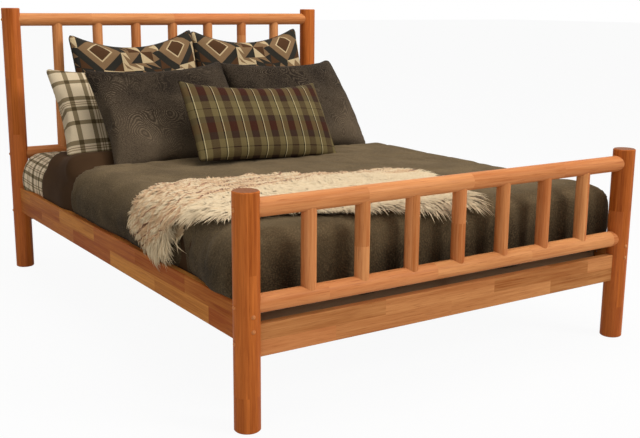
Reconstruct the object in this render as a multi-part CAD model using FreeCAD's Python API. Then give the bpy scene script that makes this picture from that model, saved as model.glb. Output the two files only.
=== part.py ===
import FreeCAD, Part
import math
import os

# Rustic log bed, dressed. Millimetres: X across the bed, Y from foot to head, Z up, floor at zero.

# Mattress, which sets the size of the frame
mattress_width = 1524.0
mattress_length = 2032.0
mattress_height = 230.0
mattress_corner = 70.0
mattress_edge = 40.0
side_room = 14.0
foot_room = 48.0
head_room = 17.0

# Posts
post_diameter = 80.0
head_post_height = 1192.0
foot_post_height = 714.0
post_chamfer = 3.0

# Log rails, each with a round tenon in the posts
rail_diameter = 57.0
head_top_rail_drop = 51.0
head_low_rail_height = 535.0
foot_top_rail_drop = 52.0
foot_low_rail_height = 380.0
rail_tenon_diameter = 32.0
rail_tenon_length = 24.0

# Spindles, with round tenons in the rails
spindle_count = 7
spindle_diameter = 47.0
spindle_pitch = 193.3
spindle_tenon_diameter = 24.0
spindle_tenon_length = 16.0

# Planks between the posts
plank_thickness = 28.0
side_plank_height = 117.0
side_plank_lift = 264.0
end_plank_height = 100.0
end_plank_lift = 221.0
plank_edge = 4.0

# Slats, the ledgers that carry them, and the centre beam on its legs
ledger_width = 22.0
ledger_height = 25.0
ledger_lift = 2.0
ledger_edge = 2.0
ledger_end_gap = 8.0
slat_count = 13
slat_width = 70.0
slat_thickness = 19.0
slat_end_gap = 2.0
slat_margin = 45.0
slat_edge = 3.0
beam_width = 40.0
beam_height = 64.0
beam_edge = 3.0
hanger_sheet = 3.0
hanger_depth = 45.0
hanger_height = 50.0
leg_width = 45.0
leg_offset = 360.0
leg_spigot_diameter = 20.0
leg_spigot_length = 25.0
leveler_diameter = 38.0
leveler_thickness = 8.0
leveler_stem_diameter = 8.0
leveler_stem_length = 30.0
leveler_gap = 6.0

# Bolts through the posts, barrel nuts in the ends of rails and planks, wooden buttons over the heads
bolt_diameter = 6.0
bolt_head_diameter = 10.0
bolt_head_height = 6.0
bolt_socket_width = 5.0
bolt_socket_depth = 3.0
socket_sides = 6
bolt_past_nut = 6.0
side_bolt_drop = 26.0
side_bolt_pitch = 44.0
nut_diameter = 10.0
nut_length = 16.0
nut_distance = 45.0
button_diameter = 14.0
button_rise = 5.5
button_stem_length = 4.0
dowel_diameter = 10.0
dowel_length = 40.0
dowel_pitch = 62.0

# Wood screws
screw_diameter = 4.0
screw_length = 35.0
screw_head_diameter = 8.0
ledger_screw_count = 8
ledger_screw_margin = 90.0
hanger_screw_length = 20.0
hanger_screw_rise = 28.0

# Fits
fit = 0.15
bolt_fit = 0.3
cope_fit = 0.2
soft_gap = 0.3
overrun = 5.0

# Fitted sheet and blanket, two thin skins over the mattress
sheet_thickness = 2.0
sheet_skirt = 200.0
blanket_thickness = 3.0
blanket_skirt = 192.0
blanket_head_edge = 282.0
blanket_side_edge = 420.0

# Comforter: plump over the top, full at the sides, wider at the foot corners
comforter_thickness = 32.0
comforter_foot_thickness = 20.0
comforter_overhang = 8.0
comforter_foot_overhang = 34.0
comforter_foot_flare = 330.0
comforter_head_edge = 716.0
comforter_side_edge = 622.0
comforter_edge_width = 190.0
comforter_corner = 62.0
comforter_shoulder_width = 118.0
comforter_shoulder_height = 88.0
comforter_waist = 12.0
comforter_hem_drop = 46.0
comforter_foot_hem_rise = 5.0
comforter_fold_count = 7
comforter_fold_depth = 7.0
foot_edge_radius = 62.0

# How the comforter's shoulders bend, how its flare fades from the foot, and how both covers' head edges curve
shoulder_bend_out_share = 0.42
shoulder_bend_drop_share = 0.28
flare_shares = (1.0, 1.0, 0.85, 0.12)
head_edge_bend_share = 0.72

# Fur throw across the foot end, hanging over the left side and a little over the foot
throw_pile = 21.0
throw_length = 1100.0
throw_width = 860.0
throw_reach = 818.0
throw_shoulder = 40.0
throw_left_width = 575.0
throw_foot_width = 700.0
throw_foot_drop = 70.0

# The throw's edges on the top, at the left side and at the foot: shares across or along it, then of its drop
throw_top_shares = (
    (0.0, 0.0), (0.09, 0.06), (0.18, 0.0), (0.25, 0.05), (0.32, 0.085), (0.40, 0.06), (0.48, 0.08), (0.60, 0.16),
    (0.73, 0.235), (0.83, 0.22), (0.94, 0.245), (1.0, 0.32), (1.0, 0.42), (1.0, 0.54), (0.97, 0.64), (0.90, 0.78),
    (0.86, 1.0),
)
throw_left_shares = (
    (0.0, 0.45), (0.06, 0.28), (0.10, 0.33), (0.18, 0.17), (0.22, 0.20), (0.28, 0.05), (0.42, 0.01), (0.60, 0.0),
    (0.64, 0.08), (0.72, 0.06), (0.80, 0.30), (0.86, 0.55), (1.0, 0.85),
)
throw_foot_shares = (
    (0.0, 0.9), (0.12, 0.95), (0.24, 0.80), (0.34, 0.90), (0.44, 0.62), (0.54, 0.70), (0.64, 0.35), (0.72, 0.45),
    (0.82, 0.0), (0.90, 0.30), (1.0, 0.62),
)

# Pillows: width, height along the pillow, thickness, dips between the corners, lean, place
pillow_sink = 12.0
patterned_pillow = {"width": 585.0, "height": 572.0, "thickness": 160.0, "dip": 88.0, "draw": 24.0}
sham_pillow = {"width": 670.0, "height": 492.0, "thickness": 150.0, "dip": 22.0, "draw": 16.0}
plush_pillow = {"width": 690.0, "height": 500.0, "thickness": 185.0, "dip": 20.0, "draw": 18.0}
lumbar_pillow = {"width": 715.0, "height": 375.0, "thickness": 130.0, "dip": 30.0, "draw": 20.0}
patterned_lean = 15.5
sham_lean = 37.0
plush_lean = 38.0
lumbar_lean = 37.0
patterned_from_head = 193.0
sham_from_head = 500.0
plush_from_head = 708.0
lumbar_from_head = 922.0
patterned_gap = 11.0
sham_left_offset = 352.0
sham_gap = 22.0
plush_left_offset = 300.0
plush_gap = 8.0
lumbar_offset = 30.0
plush_yaw = 2.0
lumbar_yaw = 4.0
lumbar_roll = 2.0

# How a pillow swells: where its sections stand, and the powers of its curves
pillow_station_shares = (-1.0, -0.88, -0.6, -0.25, 0.25, 0.6, 0.88, 1.0)
dip_power = 2.2
swell_power = 2.6
swell_root = 0.75
draw_power = 3
bottom_dip_share = 1 / 3

# Worked out from the sizes above
post_radius = post_diameter / 2
rail_radius = rail_diameter / 2
spindle_radius = spindle_diameter / 2
bolt_radius = bolt_diameter / 2
bolt_head_radius = bolt_head_diameter / 2
nut_radius = nut_diameter / 2
button_radius = button_diameter / 2
half_x = (mattress_width + plank_thickness) / 2 + side_room
half_y = (mattress_length + foot_room + head_room + rail_diameter) / 2
head_top_rail_height = head_post_height - head_top_rail_drop
foot_top_rail_height = foot_post_height - foot_top_rail_drop
side_plank_top = side_plank_lift + side_plank_height
end_plank_middle = end_plank_lift + end_plank_height / 2
side_inner = half_x - plank_thickness / 2
end_inner = half_y - plank_thickness / 2
ledger_bottom = side_plank_lift + ledger_lift
slat_bottom = ledger_bottom + ledger_height
slat_top = slat_bottom + slat_thickness
beam_bottom = slat_bottom - beam_height
button_seat = math.sqrt(post_radius**2 - button_radius**2)
bolt_seat = button_seat - button_stem_length - soft_gap - bolt_head_height
nut_reach = post_radius + nut_distance
side_bolt_heights = (side_plank_top - side_bolt_drop, side_plank_top - side_bolt_drop - side_bolt_pitch)
spindle_places = [spindle_pitch * (i - (spindle_count - 1) / 2) for i in range(spindle_count)]
slat_span = mattress_length - 2 * slat_margin - slat_width
slat_places = [slat_span * (i / (slat_count - 1) - 1 / 2) for i in range(slat_count)]

# Layers of the bedding, from the mattress outwards
mattress_foot = -half_y + rail_radius + foot_room
mattress_head = mattress_foot + mattress_length
mattress_top = slat_top + mattress_height
sheet_build = soft_gap + sheet_thickness
blanket_build = sheet_build + soft_gap + blanket_thickness
comforter_inner = blanket_build + soft_gap
comforter_top = mattress_top + comforter_inner + comforter_thickness
comforter_foot = mattress_foot - comforter_inner - comforter_foot_thickness
comforter_seat = side_plank_top + soft_gap
tuck_reach = side_inner - soft_gap
bedding_bottom = slat_top + soft_gap

# Places of the pillows that stand side by side
patterned_offset = (patterned_pillow["width"] + patterned_gap) / 2
sham_right_offset = sham_pillow["width"] + sham_gap - sham_left_offset
plush_right_offset = plush_pillow["width"] + plush_gap - plush_left_offset


def point(x, y, z):
    return FreeCAD.Vector(x, y, z)


def box(x_low, x_high, y_low, y_high, z_low, z_high):
    return Part.makeBox(x_high - x_low, y_high - y_low, z_high - z_low, point(x_low, y_low, z_low))


def rod(start, end, radius):
    along = end - start
    return Part.makeCylinder(radius, along.Length, start, along)


def outline(start, *steps):
    """A closed wire. A step of one point is a line to it, one of two is an arc through the first."""
    edges = []
    here = start
    for step in steps:
        there = step[-1]
        if len(step) == 1:
            edges.append(Part.LineSegment(here, there).toShape())
        else:
            edges.append(Part.Arc(here, step[0], there).toShape())
        here = there
    return Part.Wire(edges)


def prism(wire, along):
    return Part.Face(wire).extrude(along)


def rounded_bar(start, end, side, side_width, up_width, radius):
    """A bar with eased long edges from start to end; side is the direction of its thickness."""
    up = (end - start).normalize().cross(side)
    easing = min(radius, side_width / 4, up_width / 4)
    bend = easing * (1 - math.sqrt(1 / 2))
    steps = []
    for right, top in ((1, 1), (-1, 1), (-1, -1), (1, -1)):
        corner = start + side * (right * side_width / 2) + up * (top * up_width / 2)
        on_side = corner - up * (top * easing)
        on_cap = corner - side * (right * easing)
        middle = corner - (side * right + up * top) * bend
        first, last = (on_side, on_cap) if right == top else (on_cap, on_side)
        steps += [(first,), (middle, last)]
    return prism(outline(steps[-1][-1], *steps), end - start)


def bolted(x_side, y_side, height, outward, nut_mouth):
    """A bolted joint: a point on the post's axis, the way out of the post, the way out of the nut's hole."""
    return {"axis": point(x_side * half_x, y_side * half_y, height), "out": outward, "mouth": nut_mouth}


def bolt(joint):
    seat = joint["axis"] + joint["out"] * bolt_seat
    head_top = seat + joint["out"] * bolt_head_height
    tip = joint["axis"] - joint["out"] * (nut_reach + nut_radius + bolt_past_nut)
    body = rod(tip, seat, bolt_radius).fuse(rod(seat, head_top, bolt_head_radius))
    socket = Part.makePolygon([socket_corner(head_top, joint, i) for i in range(socket_sides + 1)])
    return body.cut(prism(socket, joint["out"] * -bolt_socket_depth)).removeSplitter()


def socket_corner(centre, joint, index):
    across = joint["mouth"]
    other = joint["out"].cross(across)
    reach = bolt_socket_width / 2 / math.cos(math.pi / socket_sides)
    angle = 2 * math.pi * index / socket_sides
    return centre + across * (reach * math.cos(angle)) + other * (reach * math.sin(angle))


def bolt_bore(joint):
    """The space cut for a bolt: its shank, the pocket of its head, and the seat of the button."""
    axis, out = joint["axis"], joint["out"]
    tip = axis - out * (nut_reach + nut_radius + bolt_past_nut + soft_gap)
    shank = rod(tip, axis + out * bolt_seat, bolt_radius + bolt_fit)
    pocket = rod(axis + out * bolt_seat, axis + out * button_seat, bolt_head_radius + fit)
    seat = rod(axis + out * button_seat, axis + out * (post_radius + overrun), button_radius + fit)
    return shank.fuse([pocket, seat])


def nut_centre(joint):
    return joint["axis"] - joint["out"] * nut_reach


def nut(joint):
    centre = nut_centre(joint)
    half = joint["mouth"] * (nut_length / 2)
    thread = joint["out"] * (nut_radius + overrun)
    body = rod(centre - half, centre + half, nut_radius)
    return body.cut(rod(centre - thread, centre + thread, bolt_radius + fit))


def nut_bore(joint):
    centre = nut_centre(joint)
    blind_end = centre - joint["mouth"] * (nut_length / 2 + fit)
    return rod(blind_end, centre + joint["mouth"] * rail_diameter, nut_radius + fit)


def button(joint):
    """A domed wooden button whose stem plugs the pocket above the bolt's head."""
    axis, out = joint["axis"], joint["out"]
    base = axis + out * button_seat
    stem = rod(base - out * button_stem_length, base, bolt_head_radius)
    ball_radius = (button_radius**2 + button_rise**2) / (2 * button_rise)
    ball = Part.makeSphere(ball_radius, base - out * (ball_radius - button_rise))
    dome = ball.common(rod(base, base + out * (button_rise + overrun), button_radius))
    return dome.fuse(stem).removeSplitter()


def dowel(x_side, y_side, height, growth):
    """A dowel across the joint of a post and an end plank; growth is the play of its hole."""
    outer = half_x - post_radius + dowel_length / 2 + growth
    inner = half_x - post_radius - dowel_length / 2 - growth
    y = y_side * half_y
    radius = dowel_diameter / 2 + growth
    return rod(point(x_side * inner, y, height), point(x_side * outer, y, height), radius)


def post(x_side, y_side, height, rail_heights, joints):
    x, y = x_side * half_x, y_side * half_y
    body = rod(point(x, y, 0), point(x, y, height), post_radius)
    body = body.makeChamfer(post_chamfer, [e for e in body.Edges if len(e.Vertexes) == 1])
    cuts = [bolt_bore(joint) for joint in joints]
    cuts += [tenon(x_side, y_side, z, fit) for z in rail_heights]
    cuts += [dowel(x_side, y_side, z, fit) for z in dowel_heights]
    return body.cut(cuts)


def tenon(x_side, y_side, height, growth):
    """The round end of a rail inside a post, or with growth the mortise around it."""
    reach = half_x - post_radius + rail_tenon_length + growth
    start = half_x - post_diameter
    y = y_side * half_y
    radius = rail_tenon_diameter / 2 + growth
    return rod(point(x_side * start, y, height), point(x_side * reach, y, height), radius)


def post_space(x_side, y_side, growth):
    x, y = x_side * half_x, y_side * half_y
    return rod(point(x, y, -overrun), point(x, y, head_post_height + foot_post_height), post_radius + growth)


def log_rail(y_side, height, joints, spindle_side):
    """A log rail scribed to both posts, with the mortises of the spindles on one side."""
    y = y_side * half_y
    body = rod(point(-half_x, y, height), point(half_x, y, height), rail_radius)
    body = body.cut([post_space(x_side, y_side, cope_fit) for x_side in (-1, 1)])
    body = body.fuse([tenon(x_side, y_side, height, 0) for x_side in (-1, 1)])
    cuts = [bolt_bore(joint) for joint in joints] + [nut_bore(joint) for joint in joints]
    for x in spindle_places:
        crest = height + spindle_side * rail_radius
        bottom = crest - spindle_side * (spindle_tenon_length + fit)
        radius = spindle_tenon_diameter / 2 + fit
        cuts.append(rod(point(x, y, bottom), point(x, y, crest + spindle_side * overrun), radius))
    return body.cut(cuts).removeSplitter()


def spindle(x, y_side, low, high):
    """A round spindle scribed to the two rails, with a round tenon in each."""
    y = y_side * half_y
    body = rod(point(x, y, low), point(x, y, high), spindle_radius)
    for z in (low, high):
        left, right = point(x - spindle_diameter, y, z), point(x + spindle_diameter, y, z)
        body = body.cut(rod(left, right, rail_radius + cope_fit))
    low_end = low + rail_radius - spindle_tenon_length
    high_end = high - rail_radius + spindle_tenon_length
    core = rod(point(x, y, low_end), point(x, y, high_end), spindle_tenon_diameter / 2)
    return body.fuse(core).removeSplitter()


def end_plank(y_side, joints):
    """The plank below the rails of the headboard or footboard, scribed to the posts."""
    y = y_side * half_y
    ends = [point(x, y, end_plank_middle) for x in (-half_x, half_x)]
    body = rounded_bar(*ends, point(0, 1, 0), plank_thickness, end_plank_height, plank_edge)
    cuts = [post_space(x_side, y_side, cope_fit) for x_side in (-1, 1)]
    cuts += [bolt_bore(joint) for joint in joints] + [nut_bore(joint) for joint in joints]
    cuts += [dowel(x_side, y_side, z, fit) for x_side in (-1, 1) for z in dowel_heights]
    cuts += [hanger_screw(y_side, x_side, fit) for x_side in (-1, 1)]
    return body.cut(cuts)


def side_plank(x_side, joints):
    middle = side_plank_lift + side_plank_height / 2
    ends = [point(x_side * half_x, y, middle) for y in (-half_y, half_y)]
    body = rounded_bar(*ends, point(1, 0, 0), plank_thickness, side_plank_height, plank_edge)
    cuts = [post_space(x_side, y_side, cope_fit) for y_side in (-1, 1)]
    cuts += [bolt_bore(joint) for joint in joints] + [nut_bore(joint) for joint in joints]
    cuts += [ledger_screw(x_side, y, fit) for y in ledger_screw_places]
    return body.cut(cuts)


def screw(head, along, length, growth):
    """A countersunk screw whose head is flush at the point head; growth is the play of its hole."""
    radius = screw_diameter / 2
    head_radius = screw_head_diameter / 2
    cone_length = head_radius - radius
    cone = Part.makeCone(head_radius + growth, radius + growth, cone_length, head, along)
    return cone.fuse(rod(head, head + along * (length + growth), radius + growth))


def slat_screw(x_side, y, growth):
    start = point(x_side * (side_inner - ledger_width / 2), y, slat_top)
    return screw(start, point(0, 0, -1), screw_length, growth)


def ledger_screw(x_side, y, growth):
    start = point(x_side * (side_inner - ledger_width), y, ledger_bottom + ledger_height / 2)
    return screw(start, point(x_side, 0, 0), screw_length, growth)


def hanger_screw(y_side, x_side, growth):
    """One of the two screws of a beam hanger, beside the beam on each side."""
    x = x_side * hanger_ear_middle
    start = point(x, y_side * (end_inner - hanger_sheet), beam_bottom + hanger_screw_rise)
    return screw(start, point(0, y_side, 0), hanger_screw_length, growth)


def ledger(x_side):
    length = half_y - post_radius - ledger_end_gap
    x = x_side * (side_inner - ledger_width / 2)
    ends = [point(x, y, ledger_bottom + ledger_height / 2) for y in (-length, length)]
    body = rounded_bar(*ends, point(1, 0, 0), ledger_width, ledger_height, ledger_edge)
    cuts = [ledger_screw(x_side, y, fit) for y in ledger_screw_places]
    cuts += [slat_screw(x_side, y, fit) for y in slat_places]
    return body.cut(cuts)


def slat(y):
    reach = side_inner - slat_end_gap
    ends = [point(x, y, slat_bottom + slat_thickness / 2) for x in (-reach, reach)]
    body = rounded_bar(*ends, point(0, 1, 0), slat_width, slat_thickness, slat_edge)
    return body.cut([slat_screw(x_side, y, fit) for x_side in (-1, 1)])


def centre_beam():
    reach = end_inner - hanger_sheet - fit
    ends = [point(0, y, beam_bottom + beam_height / 2) for y in (-reach, reach)]
    body = rounded_bar(*ends, point(1, 0, 0), beam_width, beam_height, beam_edge)
    return body.cut([leg_spigot(y_side, fit) for y_side in (-1, 1)])


def beam_hanger(y_side):
    """A bent steel cradle under the end of the beam, with an ear on each side for its screw."""
    wall = end_inner
    inner_half = beam_width / 2 + fit
    outer_half = inner_half + hanger_sheet
    ear_half = 2 * hanger_ear_middle - outer_half
    floor = beam_bottom - fit - hanger_sheet
    top = floor + hanger_height
    back = box(-ear_half, ear_half, wall - hanger_sheet, wall, floor, top)
    cradle = box(-outer_half, outer_half, wall - hanger_depth, wall, floor, top)
    hollow_top = top + overrun
    cradle = cradle.cut(box(-inner_half, inner_half, wall - hanger_depth - overrun, wall - hanger_sheet,
                            floor + hanger_sheet, hollow_top))
    body = back.fuse(cradle).removeSplitter()
    if y_side < 0:
        body = body.mirror(point(0, 0, 0), point(0, 1, 0))
    return body.cut([hanger_screw(y_side, x_side, fit) for x_side in (-1, 1)])


def leg_spigot(y_side, growth):
    y = y_side * leg_offset
    top = beam_bottom + leg_spigot_length + growth
    return rod(point(0, y, beam_bottom - leg_width), point(0, y, top), leg_spigot_diameter / 2 + growth)


def centre_leg(y_side):
    """A square leg under the beam, with a round spigot at its top and the leveler's hole at its foot."""
    y = y_side * leg_offset
    bottom = leveler_thickness + leveler_gap
    ends = [point(0, y, z) for z in (bottom, beam_bottom)]
    body = rounded_bar(*ends, point(1, 0, 0), leg_width, leg_width, beam_edge)
    return body.fuse(leg_spigot(y_side, 0)).cut(leveler_stem(y_side, fit)).removeSplitter()


def leveler_stem(y_side, growth):
    y = y_side * leg_offset
    top = leveler_thickness + leveler_gap + leveler_stem_length + growth
    return rod(point(0, y, leveler_thickness / 2), point(0, y, top), leveler_stem_diameter / 2 + growth)


def leveler(y_side):
    """A flat screw foot; its shoulder nut carries the leg."""
    y = y_side * leg_offset
    disc = rod(point(0, y, 0), point(0, y, leveler_thickness), leveler_diameter / 2)
    shoulder_top = leveler_thickness + leveler_gap
    shoulder = rod(point(0, y, leveler_thickness), point(0, y, shoulder_top), leveler_stem_diameter)
    return disc.fuse([shoulder, leveler_stem(y_side, 0)]).removeSplitter()


def bed_block(growth, bottom):
    """The mattress as a rounded block, or with growth the space inside a skin that covers it."""
    reach = mattress_width / 2 + growth
    foot, head = mattress_foot - growth, mattress_head + growth
    corner, edge = mattress_corner + growth, mattress_edge + growth
    top = mattress_top + growth
    plan = prism(rounded_rectangle(reach, foot, head, corner, bottom), point(0, 0, top - bottom))
    side_profile = shoulder_outline(reach, edge, top, bottom)
    across = prism(side_profile, point(0, head - foot, 0))
    across.translate(point(0, foot, 0))
    half = (head - foot) / 2
    end_profile = shoulder_outline(half, edge, top, bottom)
    along = prism(end_profile, point(0, 2 * reach, 0))
    along.rotate(point(0, 0, 0), point(0, 0, 1), -90)
    along.translate(point(-reach, (foot + head) / 2, 0))
    return plan.common(across).common(along)


def rounded_rectangle(reach, foot, head, corner, z):
    bend = corner * (1 - math.sqrt(1 / 2))
    return outline(
        point(-reach, foot + corner, z),
        (point(-reach + bend, foot + bend, z), point(-reach + corner, foot, z)),
        (point(reach - corner, foot, z),),
        (point(reach - bend, foot + bend, z), point(reach, foot + corner, z)),
        (point(reach, head - corner, z),),
        (point(reach - bend, head - bend, z), point(reach - corner, head, z)),
        (point(-reach + corner, head, z),),
        (point(-reach + bend, head - bend, z), point(-reach, head - corner, z)),
        (point(-reach, foot + corner, z),),
    )


def shoulder_outline(reach, edge, top, bottom):
    """A section with rounded upper shoulders, in the plane across the bed."""
    bend = edge * (1 - math.sqrt(1 / 2))
    return outline(
        point(-reach, 0, bottom),
        (point(-reach, 0, top - edge),),
        (point(-reach + bend, 0, top - bend), point(-reach + edge, 0, top)),
        (point(reach - edge, 0, top),),
        (point(reach - bend, 0, top - bend), point(reach, 0, top - edge)),
        (point(reach, 0, bottom),),
        (point(-reach, 0, bottom),),
    )


def mattress():
    return bed_block(0, bedding_bottom)


def fitted_sheet():
    """A thin skin over the mattress, down its sides."""
    skirt = mattress_top - sheet_skirt
    return bed_block(sheet_build, skirt).cut(bed_block(soft_gap, skirt - overrun))


def head_edge_plan(middle_edge, side_edge, edge_width, foot, bottom, top):
    """A plan for a cover: its head edge is straight in the middle and curves towards the foot at the sides."""
    reach = half_x + post_diameter
    middle_y = mattress_head - middle_edge
    side_y = mattress_head - middle_edge - side_edge
    inner = half_x - edge_width
    bend_x = inner + (half_x - inner) * head_edge_bend_share
    bend_y = middle_y + (side_y - middle_y) * (1 - head_edge_bend_share)
    wire = outline(
        point(-reach, foot, bottom),
        (point(-reach, side_y, bottom),),
        (point(-half_x, side_y, bottom),),
        (point(-bend_x, bend_y, bottom), point(-inner, middle_y, bottom)),
        (point(inner, middle_y, bottom),),
        (point(bend_x, bend_y, bottom), point(half_x, side_y, bottom)),
        (point(reach, side_y, bottom),),
        (point(reach, foot, bottom),),
        (point(-reach, foot, bottom),),
    )
    return prism(wire, point(0, 0, top - bottom))


def blanket():
    """A thin skin over the sheet; its head edge runs back towards the foot at the sides."""
    skirt = mattress_top - blanket_skirt
    skin = bed_block(blanket_build, skirt).cut(bed_block(sheet_build + soft_gap, skirt - overrun))
    side_run = blanket_side_edge - blanket_head_edge
    foot = mattress_foot - blanket_build - overrun
    plan = head_edge_plan(blanket_head_edge, side_run, comforter_edge_width, foot, skirt, comforter_top)
    return skin.common(plan)


def cover_section(y, reach, growth):
    """The comforter across the bed above the side planks: two arcs down each side."""
    bottom = comforter_seat
    top = comforter_top + growth
    out = reach + growth
    shoulder_z = top - comforter_shoulder_height
    waist_z = (bottom + shoulder_z) / 2
    inner = reach - comforter_shoulder_width
    shoulder_x = out - comforter_waist
    bend_x = out - (out - inner) * shoulder_bend_out_share
    bend_z = top - comforter_shoulder_height * shoulder_bend_drop_share
    return outline(
        point(-(out - comforter_waist), y, bottom),
        (point(-out, y, waist_z), point(-shoulder_x, y, shoulder_z)),
        (point(-bend_x, y, bend_z), point(-inner, y, top)),
        (point(inner, y, top),),
        (point(bend_x, y, bend_z), point(shoulder_x, y, shoulder_z)),
        (point(out, y, waist_z), point(out - comforter_waist, y, bottom)),
        (point(-(out - comforter_waist), y, bottom),),
    )


def cover_upper(growth):
    """The comforter's outer shape above the planks, or with growth the space under a cover on it."""
    usual = half_x + comforter_overhang
    wide = half_x + comforter_foot_overhang
    foot = comforter_foot - growth - overrun
    pitch = comforter_foot_flare / len(flare_shares)
    count = math.ceil((mattress_head - comforter_head_edge - foot) / pitch)
    shares = list(flare_shares) + [0.0] * (count + 1 - len(flare_shares))
    reaches = [usual + (wide - usual) * out for out in shares]
    sections = [cover_section(foot + pitch * i, reach, growth) for i, reach in enumerate(reaches)]
    body = Part.makeLoft(sections, True, False)
    return body.common(foot_round(growth)).common(cover_plan(growth))


def foot_round(growth):
    """Keeps what lies behind the comforter's rounded foot edge; the arc crosses the flat top."""
    foot = comforter_foot - growth
    top = comforter_top + growth + soft_gap
    radius = foot_edge_radius + growth
    bend = radius * (1 - math.sqrt(1 / 2))
    reach = half_x + post_diameter
    head = mattress_head
    wire = outline(
        point(-reach, foot, bedding_bottom),
        (point(-reach, foot, top - radius),),
        (point(-reach, foot + bend, top - bend), point(-reach, foot + radius, top)),
        (point(-reach, head, top),),
        (point(-reach, head, bedding_bottom),),
        (point(-reach, foot, bedding_bottom),),
    )
    return prism(wire, point(2 * reach, 0, 0))


def cover_plan(growth):
    """The comforter from above: round foot corners and shallow hanging folds along the foot."""
    foot = comforter_foot - growth
    reach = half_x + post_diameter
    wide = half_x + comforter_foot_overhang + growth
    corner = comforter_corner + growth
    bend = corner * (1 - math.sqrt(1 / 2))
    inner = wide - corner
    pitch = 2 * inner / comforter_fold_count
    steps = [
        (point(-wide, foot + corner, 0),),
        (point(-wide + bend, foot + bend, 0), point(-inner, foot, 0)),
    ]
    for i in range(comforter_fold_count):
        start = -inner + pitch * i
        depth = comforter_fold_depth * (i % 2)
        steps.append((point(start + pitch / 2, foot + depth, 0), point(start + pitch, foot, 0))
                     if depth else (point(start + pitch, foot, 0),))
    steps += [
        (point(wide - bend, foot + bend, 0), point(wide, foot + corner, 0)),
        (point(reach, foot + corner, 0),),
        (point(reach, mattress_head, 0),),
        (point(-reach, mattress_head, 0),),
        (point(-reach, foot + corner, 0),),
    ]
    return prism(outline(point(-reach, foot + corner, 0), *steps), point(0, 0, head_post_height))


def comforter():
    """A plump cover: full above the planks, tucked inside them, hanging down behind the footboard."""
    hem = side_plank_top - comforter_hem_drop
    foot_hem = end_plank_lift + end_plank_height + comforter_foot_hem_rise
    tuck = box(-tuck_reach, tuck_reach, comforter_foot, mattress_head, hem, comforter_seat + overrun)
    tuck = tuck.common(cover_plan(0))
    foot_fall = box(-tuck_reach, tuck_reach, comforter_foot, mattress_foot + overrun, foot_hem, hem + overrun)
    foot_fall = foot_fall.common(cover_plan(0))
    body = cover_upper(0).fuse([tuck, foot_fall])
    side_run = comforter_side_edge - comforter_head_edge
    body = body.common(head_edge_plan(comforter_head_edge, side_run, comforter_edge_width,
                                      comforter_foot - overrun, 0, comforter_top + overrun))
    return body.cut(bed_block(comforter_inner, bedding_bottom)).removeSplitter()


def lobed(points, *closing):
    """An outline of soft lobes: every second point is the crown of an arc."""
    steps = [(points[i], points[i + 1]) for i in range(1, len(points), 2)]
    steps += [(p,) for p in closing] + [(points[0],)]
    return outline(points[0], *steps)


def fur_throw():
    """A thick pelt that follows the comforter: over the top, over the left side and over the foot edge."""
    left = -half_x - comforter_overhang + throw_shoulder
    far = mattress_foot + throw_reach
    tall = head_post_height
    foot_line = comforter_foot + throw_shoulder
    top_points = [point(left + throw_length * u, far - throw_width * v, 0) for u, v in throw_top_shares]
    near = [point(top_points[-1].x, foot_line, 0), point(left, foot_line, 0)]
    over_top = prism(lobed(top_points[:-1] + [near[0]], near[1]), point(0, 0, tall))
    drop_low = comforter_seat + soft_gap
    drop_height = comforter_top - drop_low
    x_out = -half_x - comforter_foot_overhang - throw_pile - overrun
    side_points = [point(x_out, far - throw_left_width * u, drop_low + drop_height * v)
                   for u, v in throw_left_shares]
    side_wire = lobed(side_points, point(x_out, side_points[-1].y, tall), point(x_out, far, tall))
    over_side = prism(side_wire, point(left + overrun - x_out, 0, 0))
    y_out = comforter_foot - throw_pile - overrun
    foot_left = left + throw_length * throw_top_shares[-1][0] - throw_foot_width
    foot_low = comforter_top - throw_foot_drop
    foot_points = [point(foot_left + throw_foot_width * u, y_out, foot_low + throw_foot_drop * v)
                   for u, v in throw_foot_shares]
    foot_wire = lobed(foot_points, point(foot_points[-1].x, y_out, tall), point(foot_left, y_out, tall))
    over_foot = prism(foot_wire, point(0, foot_line + overrun - y_out, 0))
    reach = over_top.fuse([over_side, over_foot])
    return cover_upper(soft_gap + throw_pile).common(reach).cut(cover_upper(soft_gap)).removeSplitter()


def cushion(size):
    """A pillow standing on its bottom seam at the origin: two crowned faces that meet in one seam."""
    faces = []
    for front in (-1, 1):
        arcs = [cushion_arc(size, share, front) for share in pillow_station_shares]
        faces += Part.makeLoft(arcs, False, False).Faces
    shell = Part.makeShell(faces)
    shell.sewShape()
    body = Part.makeSolid(shell)
    if body.Volume < 0:
        body.reverse()
    return body


def cushion_arc(size, share, front):
    x = size["width"] / 2 * share
    middle = 1 - abs(share)**dip_power
    swell = (1 - abs(share)**swell_power)**swell_root
    drawn = size["draw"] * share**draw_power
    low = point(x, 0, size["dip"] * bottom_dip_share * middle)
    high = point(x, 0, size["height"] - size["dip"] * middle)
    crown = point(x - drawn, front * swell * size["thickness"] / 2, (low.z + high.z) / 2)
    return Part.Wire([Part.Arc(low, crown, high).toShape()])


def pillow(size, x, from_head, rest, lean, yaw, roll):
    """A pillow that leans towards the head, cut flat where it rests."""
    body = cushion(size)
    body.rotate(point(0, 0, 0), point(0, 1, 0), roll)
    body.rotate(point(0, 0, 0), point(1, 0, 0), -lean)
    body.rotate(point(0, 0, 0), point(0, 0, 1), yaw)
    body.translate(point(x, mattress_head - from_head, rest - pillow_sink))
    reach = half_x * 2
    above = box(-reach, reach, -half_y, half_y * 2, rest + soft_gap, rest + head_post_height)
    return body.common(above)


# Where the bolts are
dowel_heights = [end_plank_middle + dowel_pitch / 2 * side for side in (-1, 1)]
hanger_ear_middle = beam_width / 2 + hanger_sheet + screw_head_diameter
ledger_run = half_y - post_radius - ledger_screw_margin
ledger_screw_places = [ledger_run * (2 * i / (ledger_screw_count - 1) - 1) for i in range(ledger_screw_count)]


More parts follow.
